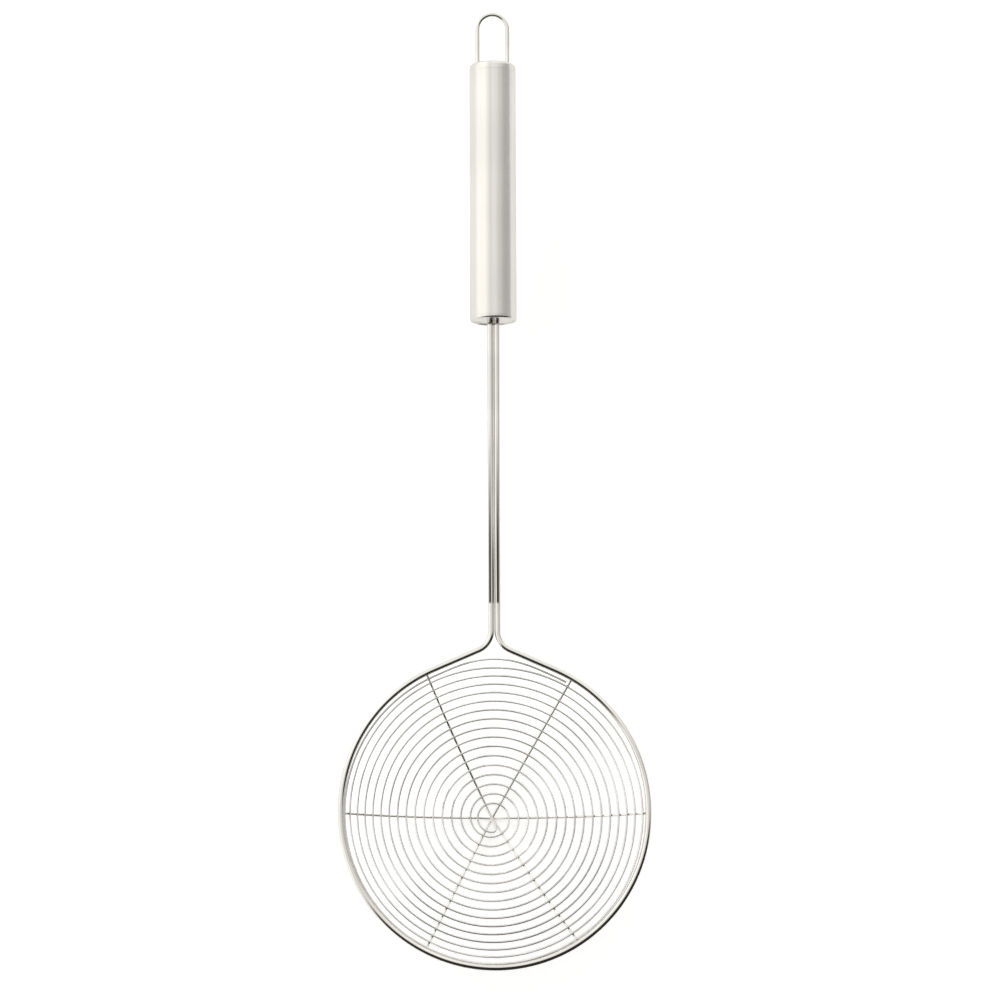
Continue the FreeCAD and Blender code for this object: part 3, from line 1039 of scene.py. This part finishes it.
class SKIMMER_OT_tube(bpy.types.Operator):
    """Turns the satin handle tube"""
    bl_idname = "skimmer.tube"
    bl_label = "Handle tube"

    def execute(self, context):
        mesh = turned_mesh("satin_tube", tube_outline(), finishes()["brushed_steel"])
        add_piece("satin_tube", mesh, "satin_steel", "handle_tube")
        return {"FINISHED"}


class SKIMMER_OT_caps(bpy.types.Operator):
    """Turns the two end caps and drills them for the wires"""
    bl_idname = "skimmer.caps"
    bl_label = "End caps"

    def execute(self, context):
        satin = finishes()["brushed_steel"]
        upper = drilled(
            turned_mesh("domed_cap", upper_cap_outline(), satin), LOOP_RADIUS,
            LOOP_WIRE_RADIUS + WIRE_HOLE_GAP, UPPER_CAP_LOW.y, UPPER_CAP_HIGH.y + SHOULDER)
        add_piece("domed_cap", upper, "satin_steel", "upper_end_cap")
        lower = drilled(
            turned_mesh("lipped_cap", lower_cap_outline(), satin), LEG_X,
            RIM_WIRE_RADIUS + WIRE_HOLE_GAP, LOWER_CAP_LOW.y - LIP_ROUNDING, LOWER_CAP_HIGH.y)
        add_piece("lipped_cap", lower, "satin_steel", "lower_end_cap")
        return {"FINISHED"}


class SKIMMER_OT_loop(bpy.types.Operator):
    """Bends the hanging loop"""
    bl_idname = "skimmer.loop"
    bl_label = "Hanging loop"

    def execute(self, context):
        wire_piece(
            "round_loop", loop_path(), LOOP_WIRE_RADIUS, THICK_SIDES, finishes()["bright_drawn_steel"],
            "polished_wire", "hanging_loop")
        return {"FINISHED"}


class SKIMMER_OT_stage(bpy.types.Operator):
    """Sets up the pale floor, the soft light and the camera"""
    bl_idname = "skimmer.stage"
    bl_label = "Studio"

    def execute(self, context):
        scene = context.scene
        studio_floor(scene.skimmer_finish.floor_colour)
        studio_world(scene)
        top_softbox()
        studio_camera(scene, scene.skimmer_sizes.camera_distance)
        scene.view_settings.view_transform = "Standard"
        return {"FINISHED"}


# Panel and registration

class SKIMMER_PT_panel(bpy.types.Panel):
    """Lists the skimmer's sizes, colours and build steps"""
    bl_idname = "SKIMMER_PT_panel"
    bl_label = "Spider Skimmer"
    bl_space_type = "VIEW_3D"
    bl_region_type = "UI"
    bl_category = "Skimmer"

    def draw(self, context):
        for group in (context.scene.skimmer_sizes, context.scene.skimmer_finish):
            for key in group.bl_rna.properties.keys():
                if key not in {"rna_type", "name"}:
                    self.layout.prop(group, key)
        for step in STEPS:
            self.layout.operator(step.bl_idname)


STEPS = (
    SKIMMER_OT_rim, SKIMMER_OT_spokes, SKIMMER_OT_spiral, SKIMMER_OT_welds, SKIMMER_OT_tube,
    SKIMMER_OT_caps, SKIMMER_OT_loop, SKIMMER_OT_stage)
CLASSES = (SkimmerSizes, SkimmerFinish, *STEPS, SKIMMER_PT_panel)


def register():
    """Registers the classes and hangs the settings on the scene."""
    for each in CLASSES:
        bpy.utils.register_class(each)
    bpy.types.Scene.skimmer_sizes = bpy.props.PointerProperty(type=SkimmerSizes)
    bpy.types.Scene.skimmer_finish = bpy.props.PointerProperty(type=SkimmerFinish)


def unregister():
    """Undoes register."""
    del bpy.types.Scene.skimmer_finish
    del bpy.types.Scene.skimmer_sizes
    for each in reversed(CLASSES):
        bpy.utils.unregister_class(each)


def main():
    """Builds every piece and the studio."""
    register()
    bpy.ops.skimmer.rim()
    bpy.ops.skimmer.spokes()
    bpy.ops.skimmer.spiral()
    bpy.ops.skimmer.welds()
    bpy.ops.skimmer.tube()
    bpy.ops.skimmer.caps()
    bpy.ops.skimmer.loop()
    bpy.ops.skimmer.stage()


if __name__ == "__main__":
    main()
